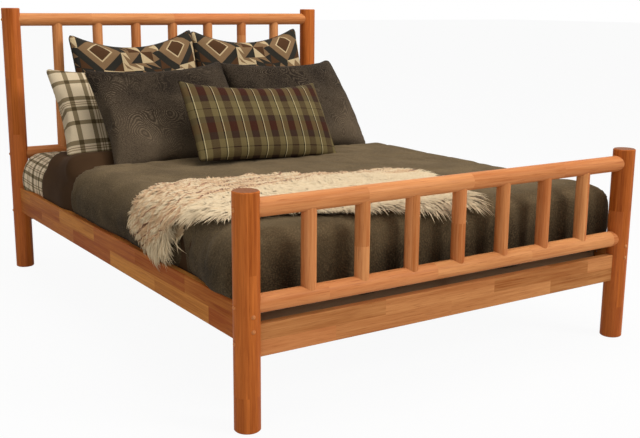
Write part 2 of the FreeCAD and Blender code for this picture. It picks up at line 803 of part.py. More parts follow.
def rail_joints(y_side, height):
    return [bolted(x_side, y_side, height, point(x_side, 0, 0), point(0, 0, -1)) for x_side in (-1, 1)]


def end_plank_joints(y_side):
    mouth = point(0, -y_side, 0)
    return [bolted(x_side, y_side, end_plank_middle, point(x_side, 0, 0), mouth) for x_side in (-1, 1)]


def side_plank_joints(x_side):
    mouth = point(-x_side, 0, 0)
    places = [(y_side, z) for y_side in (-1, 1) for z in side_bolt_heights]
    return [bolted(x_side, y_side, z, point(0, y_side, 0), mouth) for y_side, z in places]


def build_frame():
    parts = {}
    boards = {
        "head": (1, head_post_height, head_low_rail_height, head_top_rail_height),
        "foot": (-1, foot_post_height, foot_low_rail_height, foot_top_rail_height),
    }
    sides = {"left": -1, "right": 1}
    side_joints = {side: side_plank_joints(sides[side]) for side in sides}
    joints = side_joints["left"] + side_joints["right"]
    for board, (y_side, post_height, low, high) in boards.items():
        low_joints, high_joints = rail_joints(y_side, low), rail_joints(y_side, high)
        plank_joints = end_plank_joints(y_side)
        own_joints = low_joints + high_joints + plank_joints
        joints += own_joints
        parts[board + "board_top_rail"] = log_rail(y_side, high, high_joints, -1)
        parts[board + "board_low_rail"] = log_rail(y_side, low, low_joints, 1)
        parts[board + "_plank"] = end_plank(y_side, plank_joints)
        for number, x in enumerate(spindle_places, 1):
            parts[f"{board}board_spindle_{number}"] = spindle(x, y_side, low, high)
        for side, x_side in sides.items():
            at_post = [j for j in own_joints if j["axis"].x * x_side > 0]
            at_post += [j for j in side_joints[side] if j["axis"].y * y_side > 0]
            parts[f"{board}_post_{side}"] = post(x_side, y_side, post_height, (low, high), at_post)
    for side, x_side in sides.items():
        parts["side_plank_" + side] = side_plank(x_side, side_joints[side])
        parts["ledger_" + side] = ledger(x_side)
    parts["slats"] = Part.makeCompound([slat(y) for y in slat_places])
    parts["centre_beam"] = centre_beam()
    parts["beam_hangers"] = Part.makeCompound([beam_hanger(y_side) for y_side in (-1, 1)])
    for name, y_side in (("foot", -1), ("head", 1)):
        parts["centre_leg_" + name] = centre_leg(y_side)
        parts["leg_leveler_" + name] = leveler(y_side)
    parts["frame_bolts"] = Part.makeCompound([bolt(joint) for joint in joints])
    parts["barrel_nuts"] = Part.makeCompound([nut(joint) for joint in joints])
    parts["bolt_buttons"] = Part.makeCompound([button(joint) for joint in joints])
    corners = [(x_side, y_side) for x_side in (-1, 1) for y_side in (-1, 1)]
    dowels = [dowel(*corner, z, 0) for corner in corners for z in dowel_heights]
    parts["plank_dowels"] = Part.makeCompound(dowels)
    hanging = [hanger_screw(y_side, x_side, 0) for x_side, y_side in corners]
    parts["hanger_screws"] = Part.makeCompound(hanging)
    screws = [slat_screw(x_side, y, 0) for x_side in (-1, 1) for y in slat_places]
    screws += [ledger_screw(x_side, y, 0) for x_side in (-1, 1) for y in ledger_screw_places]
    parts["wood_screws"] = Part.makeCompound(screws)
    return parts


def build_bedding():
    on_sheet = mattress_top + sheet_build
    on_blanket = mattress_top + blanket_build
    parts = {
        "mattress": mattress(),
        "fitted_sheet": fitted_sheet(),
        "blanket": blanket(),
        "comforter": comforter(),
        "fur_throw": fur_throw(),
        "patterned_pillow_left": pillow(patterned_pillow, -patterned_offset, patterned_from_head, on_sheet,
                                        patterned_lean, 0, 0),
        "patterned_pillow_right": pillow(patterned_pillow, patterned_offset, patterned_from_head, on_sheet,
                                         patterned_lean, 0, 0),
        "plaid_sham_left": pillow(sham_pillow, -sham_left_offset, sham_from_head, on_blanket,
                                  sham_lean, 0, 0),
        "plaid_sham_right": pillow(sham_pillow, sham_right_offset, sham_from_head, on_blanket,
                                   sham_lean, 0, 0),
        "plush_pillow_left": pillow(plush_pillow, -plush_left_offset, plush_from_head, on_blanket,
                                    plush_lean, -plush_yaw, 0),
        "plush_pillow_right": pillow(plush_pillow, plush_right_offset, plush_from_head, on_blanket,
                                     plush_lean, plush_yaw, 0),
        "lumbar_pillow": pillow(lumbar_pillow, lumbar_offset, lumbar_from_head, comforter_top,
                                lumbar_lean, lumbar_yaw, lumbar_roll),
    }
    return parts


def main():
    os.makedirs("parts", exist_ok=True)
    for name, shape in {**build_frame(), **build_bedding()}.items():
        shape.exportStep(f"parts/{name}.step")
        print(name, len(shape.Solids), shape.isValid(), round(shape.Volume))


main()
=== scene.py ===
import math
import random

import bmesh
import bpy
from mathutils import Matrix, Vector, kdtree, noise
from mathutils.bvhtree import BVHTree


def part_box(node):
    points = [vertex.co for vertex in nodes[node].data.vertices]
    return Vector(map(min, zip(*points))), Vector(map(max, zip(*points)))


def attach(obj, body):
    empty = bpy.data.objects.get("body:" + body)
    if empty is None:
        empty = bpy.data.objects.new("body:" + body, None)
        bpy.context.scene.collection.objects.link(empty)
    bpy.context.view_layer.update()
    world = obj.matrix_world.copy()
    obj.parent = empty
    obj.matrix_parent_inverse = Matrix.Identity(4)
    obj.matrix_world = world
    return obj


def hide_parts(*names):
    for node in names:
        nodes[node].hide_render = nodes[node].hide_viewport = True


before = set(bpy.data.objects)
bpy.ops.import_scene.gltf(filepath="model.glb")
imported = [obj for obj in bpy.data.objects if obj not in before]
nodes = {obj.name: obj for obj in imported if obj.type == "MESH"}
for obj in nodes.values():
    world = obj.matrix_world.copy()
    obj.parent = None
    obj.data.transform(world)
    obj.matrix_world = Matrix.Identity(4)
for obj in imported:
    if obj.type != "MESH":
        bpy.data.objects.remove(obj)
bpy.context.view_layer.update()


def tone(red, green, blue):
    """A colour as it is seen, 0 to 255, as the shader wants it."""
    def linear(level):
        share = level / 255
        return share / 12.92 if share <= 0.04045 else ((share + 0.055) / 1.055) ** 2.4
    return linear(red), linear(green), linear(blue), 1.0


# Rustic log bed, dressed. Metres: X across the bed, Y from foot to head, Z up, floor at zero.
# A pair of numbers is where something starts and where it is complete.

# The camera of the photograph
camera_place = Vector((-2.0763, -3.3992, 1.2220))
camera_yaw = 0.5841
camera_pitch = -0.2185
camera_roll = 0.0083
camera_focal_px = 970.0
photo_width_px = 640
sensor_width_mm = 36.0

# Studio: ambient light, soft lights with place, size and watts, and how white the floor shows
ambient_light = 0.31
light_target = (0.0, -0.2, 0.45)
studio_lights = (
    ("key", (6.0, -9.0, 6.8), 3.9, 820),
    ("left", (-4.4, -3.4, 2.2), 2.4, 46),
    ("top", (0.3, -0.5, 4.4), 3.0, 128),
)
floor_reach = 60.0
floor_tone = tone(208, 207, 205)
floor_white_share = 0.94

# Corners closer than this are one
merge_distance = 1e-5

# Heights and edges that the bedding follows, from the frame
mattress_low, mattress_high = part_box("mattress")
blanket_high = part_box("blanket")[1]
comforter_low, comforter_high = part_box("comforter")
throw_low, throw_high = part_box("fur_throw")

# Wood: how figure, fibre and pores stretch along the grain, how far seeds and staves move in it, and the
# rings on a post's top, in radians a metre. Then steel and plastic
figure_stretch = (1.6, 22.0, 22.0)
fibre_stretch = (5.0, 150.0, 150.0)
pore_stretch = (16.0, 700.0, 700.0)
seed_steps = (3.71, 0.613, 0.417)
stave_steps = (7.3, 3.1, 5.7)
ring_rate = 1900.0
ring_wobble = 6.0
ring_tones = (tone(112, 62, 28), tone(136, 80, 40))
rosy_tone = tone(198, 112, 66)
pore_depth = 0.0004
plastic_depth = 0.0002
steel_words = ("bolt", "nut", "screw", "hanger")

# How each kind of wooden piece is glued up: its grain, stave length and width, contrast, gloss and two tones
post_tones = (tone(200, 112, 46), tone(134, 60, 16))
rail_tones = (tone(216, 150, 94), tone(168, 96, 46))
plank_tones = (tone(206, 138, 68), tone(138, 66, 18))
board_tones = (tone(196, 138, 84), tone(142, 80, 36))
slat_tones = (tone(204, 174, 124), tone(166, 128, 82))
wooden_pieces = (
    ("_post_", "z", 0.62, 0.027, 0.30, 0.07, post_tones),
    ("rail", "x", 0.42, 0.060, 0.36, 0.07, rail_tones),
    ("spindle", "z", 0.60, 0.060, 0.50, 0.07, rail_tones),
    ("side_plank", "flat y", 0.40, 0.0585, 0.72, 0.02, plank_tones),
    ("head_plank", "flat x", 0.46, 0.050, 0.40, 0.04, board_tones),
    ("foot_plank", "flat x", 0.46, 0.050, 0.40, 0.04, board_tones),
    ("bolt_buttons", "z", 0.60, 0.060, 0.10, 0.07, rail_tones),
) + tuple((name, along, 0.90, 0.100, 0.20, 0.05, slat_tones) for name, along in (
    ("plank_dowels", "y"), ("slats", "x"), ("centre_leg", "z"), ("ledger", "y"), ("centre_beam", "y")))

# Mattress: cells, ticking, and how its edges round and its sides swell where the comforter leaves them free
cover_cell = 0.014
ticking_rib = 0.012
quilting_rate = 90.0
quilting_depth = 0.002
edge_round = 0.062
side_swell = 0.022
side_pinch = 0.012
free_of_comforter = (0.36, 0.50)
side_face = (-0.02, 0.04)
pinch_end = (0.80, 0.90)
head_swell = (0.86, 1.0)

# Sheet and blanket: thickness, gap to what is under them, hems, slack below the top edge, and folds
cloth_thickness = 0.0016
sheet_gap = 0.0012
sheet_hem = 0.01
sheet_slack = 0.004
turn_down = 0.03
below_top = (0.02, 0.10)
blanket_thickness = 0.003
blanket_gap = 0.0045
blanket_hem = 0.012
blanket_trim = 0.04
tuck_height = 0.003
top_ripple = 0.0015
side_fold = 0.005
rise_height = 0.05
# A lighter band low on the blanket: partly its own hem binding, partly painted light for the light that falls
# there below the mattress
painted_light_hem_band = (0.045, 0.035)
nap_depth = 0.0004
foot_band = 0.02
foot_drop = 0.022
foot_drop_height = 0.06
foot_clearance = 0.004

# The blanket's head edge, and how high and where its fold lies at the left
blanket_head = 0.745
head_ripple = 0.004
blanket_fold = 0.060
fold_front = (0.385, 0.45)
fold_end = 0.028
fold_back = (0.47, 0.62)
fold_back_loss = 0.4
fold_left = (0.38, 0.56)

# Comforter: cells, wrinkles, waves at the foot, and one deep fold at the left foot corner
comforter_cell = 0.011
comforter_wrinkle = 0.004
foot_wave = 0.009
foot_face = (0.3, 0.8)
corner_fold = -0.645
corner_fold_width = 0.042
corner_fold_depth = 0.040
corner_fold_face = (0.2, 0.7)
corner_fold_foot = (0.31, 0.36)
corner_fold_top = (0.47, 0.55)
corner_fold_left = (0.60, 0.70)

# Throw: its pelt, how far that is drawn in from the near, far and right edges, and where
throw_cell = 0.009
pelt_thickness = 0.009
fringe_inset = 0.040
near_trim = 0.10
near_foot = (0.60, 0.95)
near_left = (-0.55, -0.30)
near_top = (0.45, 0.58)
far_trim = 0.045
far_along = (-0.55, -0.25)
far_left = (-0.80, -0.62)
right_trim = 0.05
right_along = (0.05, 0.30)

# Fur: number of locks, their root width, their lengths on the field and along the edges, with the long
# fringe at the foot and left edges, and the ranges that each lock is drawn from
fur_seed = 5
fur_pieces = 5
lock_count = 42000
lock_width = 0.0052
lock_sink = 0.002
field_length = 0.030
short_fringe = 0.047
long_fringe = 0.080
fringe_reach = 0.06
long_foot = (-0.58, -0.38)
long_left = (-0.55, -0.35)
long_front = (0.93, 0.99)
length_range = (0.7, 1.25)
width_range = (0.7, 1.3)
lift_range = (0.18, 0.36)
curl_range = (-0.2, 0.2)
shade_range = (-0.1, 0.1)

# How the fur lies and catches light: spread across, droop, lean out at the edge, waves and curls
fur_spread = 0.7
fur_middle_shift = 0.12
fur_droop = 0.55
fur_fall = 0.35
fur_edge_pull = 1.3
fur_edge_share = 0.85
fur_wave = 0.55
fur_wave_rate = 7.0
fur_curl = 0.45
fur_curl_rate = 34.0
fur_lift = Vector((0.15, -0.2, 0.7))

# Brown lines in the fur: spacing, where they end towards the foot, and how they bend from left to right and
# where the throw hangs
streak_spacing = 0.058
plain_edge = -0.645
plain_blur = 0.012
streak_wander = 0.16
streak_ripple = 0.12
left_bend = (-0.80, -0.45, 0.0, -0.19)
right_bend = (-0.10, 0.30, 0.0, 0.10)
hanging_bend = (0.36, 0.56, -0.30, 0.0)
fur_stops = ((0.0, tone(214, 191, 153)), (0.3, tone(198, 161, 119)), (0.6, tone(188, 142, 104)),
             (1.0, tone(112, 74, 50)))

# Pillows, in metres and degrees: width, height, thickness, dip of the top edge, corner radius, lean back,
# yaw, roll, middle across, front, top
pillow_cell = 0.0125
pillow_forms = {
    "patterned_pillow_left": (0.627, 0.575, 0.160, 0.062, 0.030, 15.5, 0.0, -1.9, -0.233, 0.816, 1.090),
    "patterned_pillow_right": (0.612, 0.575, 0.160, 0.055, 0.030, 15.5, 0.0, -0.9, 0.372, 0.816, 1.092),
    "plaid_sham_left": (0.670, 0.492, 0.150, 0.022, 0.024, 37.0, 0.0, 1.5, -0.390, 0.545, 0.930),
    "plaid_sham_right": (0.640, 0.470, 0.150, 0.022, 0.024, 37.0, 0.0, 0.0, 0.300, 0.550, 0.885),
    "plush_pillow_left": (0.655, 0.505, 0.180, 0.030, 0.030, 38.0, -2.0, -2.4, -0.286, 0.312, 0.956),
    "plush_pillow_right": (0.652, 0.500, 0.180, 0.030, 0.034, 38.0, 5.0, 0.8, 0.352, 0.318, 0.952),
    "lumbar_pillow": (0.672, 0.385, 0.130, 0.030, 0.010, 37.0, 1.0, 3.4, 0.001, 0.088, 0.900),
}

# Stuffing: two ways to blow a case up, the cloth's mass, and how a piece is pressed back by what leans on it
soft_stuffing = {"pressure": 2.0, "tension": 15.0, "bend": 0.08, "growth": 0.08, "frames": 10}
eared_stuffing = {"pressure": 0.8, "tension": 15.0, "bend": 0.2, "growth": 0.05, "frames": 10}
cloth_quality = 6
cloth_mass = 0.3
press_reach = 0.12
press_gap = 0.0015
probe_way = Vector((0.137, -0.933, 0.331))
most_crossings = 12

# Piles: depth, and each one's dark and light tone, scale, count and strength of the pressed rings, and two
# heights with how much lighter the pile is painted at each, as painted light and shade by height
pile_depth = 0.0012
comforter_pile = (tone(48, 39, 27), tone(112, 94, 68), 5.0, 300.0, 0.07, (0.44, 0.56, -0.24, 0.17))
pillow_plush = (tone(36, 29, 22), tone(102, 87, 69), 4.0, 620.0, 0.36, (0.60, 0.86, 0.18, -0.28))

# Plaids and the geometric cloth: threads, block, tones, and bands of a width and a tone each
thread_depth = 0.0006
twill_width = 0.0024
weave_width = 0.0022
quilt_block = 0.190
quilt_shift = (0.095, 0.060)
quilt_black, quilt_brown = tone(44, 41, 34), tone(78, 52, 31)
quilt_tan, quilt_cream = tone(128, 100, 70), tone(196, 172, 132)
diamond_stops = ((0.0, quilt_brown), (0.25, quilt_cream), (0.29, quilt_tan), (0.50, quilt_black),
                 (0.74, quilt_brown))
cord_tone = tone(34, 30, 26)
cream, sham_cream, white = tone(236, 216, 184), tone(208, 188, 156), tone(255, 255, 255)
stripe, thin_stripe = tone(160, 154, 140), tone(180, 170, 156)
cream_bands = ((0.018, stripe), (0.020, white), (0.005, thin_stripe), (0.006, white), (0.005, thin_stripe),
               (0.026, white))
sham_bands = ((0.018, stripe), (0.009, white), (0.004, thin_stripe), (0.006, white), (0.004, thin_stripe),
              (0.009, white), (0.020, stripe), (0.070, white), (0.020, stripe), (0.048, white))
olive, light_olive, olive_grey = tone(96, 82, 51), tone(116, 102, 65), tone(62, 51, 37)
dark_brown, rust, black, pale = tone(46, 23, 16), tone(74, 38, 20), tone(18, 14, 12), tone(206, 190, 146)
across_bands = ((0.034, dark_brown), (0.0245, olive), (0.0055, black), (0.003, pale), (0.025, olive))
up_bands = ((0.036, light_olive), (0.004, black), (0.036, light_olive), (0.032, olive_grey),
            (0.046, rust), (0.030, olive_grey))


class Shading:
    """A node tree. Each call adds a node; its inputs are sockets or plain values."""

    def __init__(self, tree):
        self.tree = tree

    def join(self, value, socket):
        if isinstance(value, bpy.types.NodeSocket):
            self.tree.links.new(value, socket)
        elif value is not None:
            socket.default_value = value

    def new(self, kind, **settings):
        node = self.tree.nodes.new("ShaderNode" + kind)
        for name, value in settings.items():
            setattr(node, name, value)
        return node

    def add(self, kind, *inputs, out=0, **settings):
        node = self.new(kind, **settings)
        for value, socket in zip(inputs, node.inputs):
            self.join(value, socket)
        return node.outputs[out]

    def add_named(self, kind, values, **settings):
        """A node whose inputs go by name."""
        node = self.new(kind, **settings)
        for name, value in values.items():
            self.join(value, node.inputs[name])
        return node.outputs[0]

    def maths(self, operation, first, second=None, third=None):
        return self.add("Math", first, second, third, operation=operation)

    def times(self, first, second):
        return self.maths("MULTIPLY", first, second)

    def total(self, first, second):
        return self.maths("ADD", first, second)

    def sine(self, value, rate):
        return self.maths("SINE", self.times(value, rate))

    def vector(self, operation, first, second=None, out=0):
        return self.add("VectorMath", first, second, out=out, operation=operation)

    def place(self):
        return self.add("TexCoord", out=3)

    def cloth(self):
        return self.add("UVMap", uv_map="cloth")

    def split(self, vector):
        node = self.new("SeparateXYZ")
        self.join(vector, node.inputs[0])
        return node.outputs

    def combine(self, x=0.0, y=0.0, z=0.0):
        return self.add("CombineXYZ", x, y, z)

    def noise(self, vector, scale, detail=2.0, roughness=0.5, distortion=0.0):
        return self.add_named("TexNoise", {"Vector": vector, "Scale": scale, "Detail": detail,
                                           "Roughness": roughness, "Distortion": distortion})

    def stretched(self, vector, stretch, detail, roughness=0.5, distortion=0.0):
        """Noise with its own scale along each axis."""
        return self.noise(self.vector("MULTIPLY", vector, stretch), 1.0, detail, roughness, distortion)

    def plus(self, level, value, share, shift=0.0):
        """A level with a share of a value added, and a shift."""
        return self.total(level, self.maths("MULTIPLY_ADD", value, share, shift))

    def mix(self, share, first, second, blend="MIX"):
        node = self.new("Mix", data_type="RGBA", blend_type=blend)
        for value, index in ((share, 0), (first, 6), (second, 7)):
            self.join(value, node.inputs[index])
        return node.outputs[2]

    def ramp(self, value, *stops, steps=False):
        """A colour ramp of (place, colour) stops."""
        node = self.new("ValToRGB")
        ramp = node.color_ramp
        ramp.interpolation = "CONSTANT" if steps else "LINEAR"
        while len(ramp.elements) < len(stops):
            ramp.elements.new(1.0)
        for element, (place, colour) in zip(ramp.elements, stops):
            element.position = place
            element.color = colour if isinstance(colour, tuple) else (colour, colour, colour, 1.0)
        self.join(value, node.inputs[0])
        return node.outputs[0]

    def span(self, value, low, high, to_low=0.0, to_high=1.0):
        return self.add("MapRange", value, low, high, to_low, to_high)

    def bump(self, height, distance, strength=1.0):
        return self.add_named("Bump", {"Height": height, "Distance": distance, "Strength": strength})


class Surface(Shading):
    """One material."""

    def __init__(self, name, roughness=0.6, sheen=0.0, coat=0.0, gloss=0.5):
        self.material = bpy.data.materials.new(name)
        self.material.use_nodes = True
        super().__init__(self.material.node_tree)
        self.shader = self.tree.nodes["Principled BSDF"]
        self.shader.inputs["Roughness"].default_value = roughness
        self.shader.inputs["Sheen Weight"].default_value = sheen
        self.shader.inputs["Coat Weight"].default_value = coat
        self.shader.inputs["Specular IOR Level"].default_value = gloss

    def shade(self, colour, roughness=None, normal=None):
        self.join(colour, self.shader.inputs["Base Color"])
        self.join(roughness, self.shader.inputs["Roughness"])
        self.join(normal, self.shader.inputs["Normal"])
        return self.material


# Light, floor and camera

def photo_camera():
    """The camera at the photograph's viewing angle."""
    data = bpy.data.cameras.new("photo_camera")
    data.sensor_width = sensor_width_mm
    data.lens = sensor_width_mm * camera_focal_px / photo_width_px
    camera = bpy.data.objects.new("photo_camera", data)
    bpy.context.scene.collection.objects.link(camera)
    turn = Matrix.Rotation(-camera_yaw, 4, "Z") @ Matrix.Rotation(math.pi / 2 + camera_pitch, 4, "X")
    camera.matrix_world = Matrix.Translation(camera_place) @ turn @ Matrix.Rotation(camera_roll, 4, "Z")
    bpy.context.scene.camera = camera
    bpy.context.scene.view_settings.view_transform = "Standard"


def area_light(name, place, target, size, power):
    """A soft square light that faces a target."""
    data = bpy.data.lights.new(name, "AREA")
    data.size = size
    data.energy = power
    light = bpy.data.objects.new(name, data)
    bpy.context.scene.collection.objects.link(light)
    light.location = place
    light.rotation_euler = (Vector(target) - Vector(place)).to_track_quat("-Z", "Y").to_euler()


def seen_white(shading, lit, white_share, output):
    """Shows white in place of what is lit, by a share, to the camera and in reflections alone."""
    white = shading.add("Emission", (1.0, 1.0, 1.0, 1.0))
    path = shading.new("LightPath").outputs
    seen = path["Is Camera Ray"]
    for ray in ("Is Glossy Ray", "Is Transmission Ray"):
        seen = shading.maths("MAXIMUM", seen, path[ray])
    shading.join(shading.add("MixShader", shading.times(seen, white_share), lit, white), output)


def studio():
    """A plain pale floor and soft light."""
    world = bpy.data.worlds.new("studio")
    bpy.context.scene.world = world
    world.use_nodes = True
    tree = world.node_tree
    background = tree.nodes["Background"]
    background.inputs["Color"].default_value = (1.0, 1.0, 1.0, 1.0)
    background.inputs["Strength"].default_value = ambient_light
    seen_white(Shading(tree), background.outputs[0], 1.0, tree.nodes["World Output"].inputs["Surface"])
    for name, place, size, power in studio_lights:
        area_light(name, place, light_target, size, power)
    bm = bmesh.new()
    bmesh.ops.create_grid(bm, x_segments=1, y_segments=1, size=floor_reach)
    surface = Surface("studio_floor", roughness=0.9)
    material = surface.shade(floor_tone)
    output = surface.tree.nodes["Material Output"].inputs["Surface"]
    seen_white(surface, surface.shader.outputs[0], floor_white_share, output)
    new_piece("floor", bm, material)


# Small tools for pieces

def new_piece(name, bm, material=None, smooth=False):
    """An object in the scene from a bmesh."""
    mesh = bpy.data.meshes.new(name)
    bm.to_mesh(mesh)
    bm.free()
    piece = bpy.data.objects.new(name, mesh)
    bpy.context.scene.collection.objects.link(piece)
    if material:
        mesh.materials.append(material)
    for face in mesh.polygons:
        face.use_smooth = smooth
    return piece


def copy_of(node):
    """The merged mesh of a CAD node."""
    bm = bmesh.new()
    bm.from_mesh(nodes[node].data)
    bmesh.ops.remove_doubles(bm, verts=bm.verts[:], dist=merge_distance)
    bmesh.ops.recalc_face_normals(bm, faces=bm.faces[:])
    return bm


def baked(piece):
    """The piece's mesh with its modifiers applied."""
    graph = bpy.context.evaluated_depsgraph_get()
    mesh = bpy.data.meshes.new_from_object(piece.evaluated_get(graph))
    piece.modifiers.clear()
    old = piece.data
    piece.data = mesh
    bpy.data.meshes.remove(old)
    return piece


def remeshed(name, bm, cell, material):
    """A piece of even cells over the shape of a bmesh."""
    piece = new_piece(name, bm, material)
    voxels = piece.modifiers.new("cells", "REMESH")
    voxels.mode = "VOXEL"
    voxels.voxel_size = cell
    voxels.use_smooth_shade = True
    return baked(piece)


def tree_of(piece):
    bm = bmesh.new()
    bm.from_mesh(piece.data)
    tree = BVHTree.FromBMesh(bm)
    bm.free()
    return tree


def finish_piece(piece, slot, *replaced):
    """Hides the CAD nodes that a piece stands for and attaches the piece to the root body. The slot is not
    used.
    """
    if replaced:
        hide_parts(*replaced)
    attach(piece, "root")


def ease(value, low, high):
    """0 below low, 1 above high, and smooth between."""
    share = min(max((value - low) / (high - low), 0.0), 1.0)
    return share * share * (3 - 2 * share)


def hump(value, middle, width):
    return math.exp(-((value - middle) / width) ** 2)


# Wood

def log_grain(surface, along, seed, low):
    """Places inside the wood as (along the grain, across, deep), moved by a seed. The rows of a flat board
    start at its lower edge."""
    x, y, z = surface.split(surface.place())
    ways = {"x": (x, y, z), "y": (y, x, z), "z": (z, x, y), "flat x": (x, z, y), "flat y": (y, z, x)}
    length, across, depth = (seed * step for step in seed_steps)
    if "flat" in along:
        across = -low.z
    return surface.vector("ADD", surface.combine(*ways[along]), (length, across, depth))


def end_grain(surface, core, colour):
    """Where the top of a post faces up, and the colours beside and on it."""
    x, y = surface.split(surface.place())[:2]
    from_core = surface.vector("DISTANCE", surface.combine(x, y), (core.x, core.y, 0.0), out=1)
    wobble = surface.noise(surface.place(), 30.0, 2.0, 0.5)
    rings = surface.maths("MULTIPLY_ADD", wobble, ring_wobble, surface.times(from_core, ring_rate))
    cut = surface.mix(surface.span(surface.maths("SINE", rings), -1.0, 1.0), *ring_tones)
    up = surface.split(surface.add("TexCoord", out=1))[2]
    return surface.span(up, 0.86, 0.94), colour, cut


def wood(name, along, seed, low, stave_length, stave_width, contrast, gloss, light, dark, core=None):
    """Lacquered wood glued up from staves of their own tone and grain. A core shows rings on its top."""
    surface = Surface(name, roughness=0.48, coat=0.1 * gloss, gloss=gloss)
    grain = log_grain(surface, along, seed, low)
    staves = {"Vector": grain, "Color1": (0, 0, 0, 1), "Color2": (1, 1, 1, 1), "Scale": 1.0,
              "Mortar Size": 0.0, "Brick Width": stave_length, "Row Height": stave_width}
    stave = surface.add_named("TexBrick", staves, offset=0.41)
    shift = surface.vector("MULTIPLY", surface.combine(stave, stave, stave), stave_steps)
    own = surface.vector("ADD", grain, shift)
    figure = surface.stretched(own, figure_stretch, 3.0, 0.55, 0.8)
    fibre = surface.stretched(own, fibre_stretch, 2.0, 0.6)
    pores = surface.stretched(own, pore_stretch, 1.0)
    level = surface.total(figure, -0.5)
    level = surface.plus(level, fibre, 0.9, -0.45)
    level = surface.plus(level, stave, contrast, 0.5 - contrast / 2)
    colour = surface.mix(surface.span(level, 0.08, 0.92), dark, light)
    rosy = surface.span(surface.noise(surface.combine(stave, stave, seed * 0.37), 9.0, 0.0), 0.4, 0.7)
    colour = surface.mix(surface.times(rosy, 0.35), colour, rosy_tone)
    pore = surface.span(pores, 0.60, 0.72)
    colour = surface.mix(surface.times(pore, 0.4), colour, dark, "MULTIPLY")
    if core:
        colour = surface.mix(*end_grain(surface, core, colour))
    height = surface.plus(surface.times(fibre, 0.5), pore, -0.5)
    roughness = surface.span(fibre, 0.3, 0.7, 0.42, 0.56)
    return surface.shade(colour, roughness, surface.bump(height, pore_depth, 0.6))


def zinc():
    """Zinc-plated steel, with a faint cloudy finish."""
    surface = Surface("zinc_plate")
    surface.shader.inputs["Metallic"].default_value = 1.0
    cloud = surface.noise(surface.place(), 180.0, 3.0, 0.6)
    colour = surface.mix(cloud, tone(150, 152, 156), tone(196, 198, 202))
    return surface.shade(colour, surface.span(cloud, 0.3, 0.7, 0.28, 0.48))


def black_plastic():
    """Moulded plastic with a fine grained skin."""
    surface = Surface("moulded_plastic", roughness=0.55)
    grain = surface.noise(surface.place(), 900.0, 2.0, 0.5)
    colour = surface.mix(grain, tone(26, 26, 26), tone(40, 40, 40))
    return surface.shade(colour, None, surface.bump(grain, plastic_depth, 0.6))


def dress_frame():
    """Materials for every wooden, steel and plastic node of the frame."""
    steel, plastic = zinc(), black_plastic()
    for seed, (name, node) in enumerate(nodes.items(), 1):
        kind = next((kind for kind in wooden_pieces if kind[0] in name), None)
        if kind:
            part, along, length, width, contrast, gloss, tones = kind
            low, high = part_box(name)
            core = (low + high) / 2 if part == "_post_" else None
            material = wood(name + "_wood", along, seed, low, length, width, contrast, gloss, *tones, core)
        elif "leveler" in name:
            material = plastic
        elif node.data.materials and any(word in name for word in steel_words):
            material = steel
        else:
            continue
        node.data.materials.clear()
        node.data.materials.append(material)


# Mattress, fitted sheet and blanket

def unroll(piece, low, high):
    """Cloth places over a block: the flat sheet that would cover its top and hang down its sides."""
    flat = piece.data.uv_layers.new(name="cloth")
    for loop in piece.data.loops:
        place = piece.data.vertices[loop.vertex_index].co
        drop = max(high.z - place.z, 0.0)
        beyond_x = max(abs(place.x) - high.x + turn_down, 0.0)
        beyond_low = max(low.y + turn_down - place.y, 0.0)
        beyond_high = max(place.y - high.y + turn_down, 0.0)
        beyond = max(beyond_x, beyond_low, beyond_high, 1e-6)
        u = place.x + math.copysign(drop * beyond_x / beyond, place.x)
        v = place.y + drop * (beyond_high - beyond_low) / beyond
        flat.data[loop.index].uv = (u, v)


def rounded(place):
    """A place on the mattress, with the long edges rounded and the sides swollen where the comforter ends."""
    free = ease(place.y, *free_of_comforter)
    beyond = Vector((abs(place.x) - mattress_high.x + edge_round, place.z - mattress_high.z + edge_round))
    if min(beyond) > 0 and beyond.length > edge_round:
        beyond = beyond.lerp(beyond.normalized() * edge_round, free)
    up = (place.z - mattress_low.z) / (mattress_high.z - mattress_low.z)
    swell = 4 * up * (1 - up)
    side = ease(beyond.x, *side_face) * free
    pinch = side_pinch * (1 - swell) * (1 - ease(place.y, *pinch_end))
    out = beyond.x + side * (side_swell * swell * (1 + ease(place.y, *head_swell)) - pinch)
    across = math.copysign(mattress_high.x - edge_round + out, place.x)
    return Vector((across, place.y, mattress_high.z - edge_round + beyond.y))


def make_mattress():
    """The mattress in its ticking, quilted in a small wave."""
    piece = remeshed("mattress_block", copy_of("mattress"), cover_cell, None)
    for vert in piece.data.vertices:
        vert.co = rounded(vert.co)
    surface = Surface("ticking", roughness=0.9, gloss=0.2)
    x, y, z = surface.split(surface.place())
    rib = surface.span(surface.sine(surface.total(x, z), 2 * math.pi / ticking_rib), 0.3, 0.6)
    weave = surface.noise(surface.place(), 700.0, 2.0, 0.5)
    colour = surface.mix(surface.times(rib, 0.5), tone(214, 209, 198), tone(176, 168, 150))
    wave = surface.times(surface.sine(x, quilting_rate), surface.sine(y, quilting_rate))
    height = surface.maths("MULTIPLY_ADD", weave, 0.2, wave)
    piece.data.materials.append(surface.shade(colour, None, surface.bump(height, quilting_depth, 0.5)))
    finish_piece(piece, "ticking", "mattress")
    return piece


def cover(name, mattress, growth, keep, shift, trim=None):
    """A skin over the mattress, kept where keep says and moved by shift."""
    bm = bmesh.new()
    bm.from_mesh(mattress.data)
    bmesh.ops.recalc_face_normals(bm, faces=bm.faces[:])
    for vert in bm.verts:
        vert.co += vert.normal * growth
    bmesh.ops.delete(bm, geom=[vert for vert in bm.verts if not keep(vert.co)], context="VERTS")
    for vert in bm.verts:
        if trim and vert.is_boundary:
            vert.co = trim(vert.co)
    for vert in bm.verts:
        vert.co += vert.normal * shift(vert.co)
    return new_piece(name, bm, smooth=True)


def thicken(piece, thickness):
    shell = piece.modifiers.new("cloth", "SOLIDIFY")
    shell.thickness = thickness
    shell.offset = 1.0
    baked(piece)


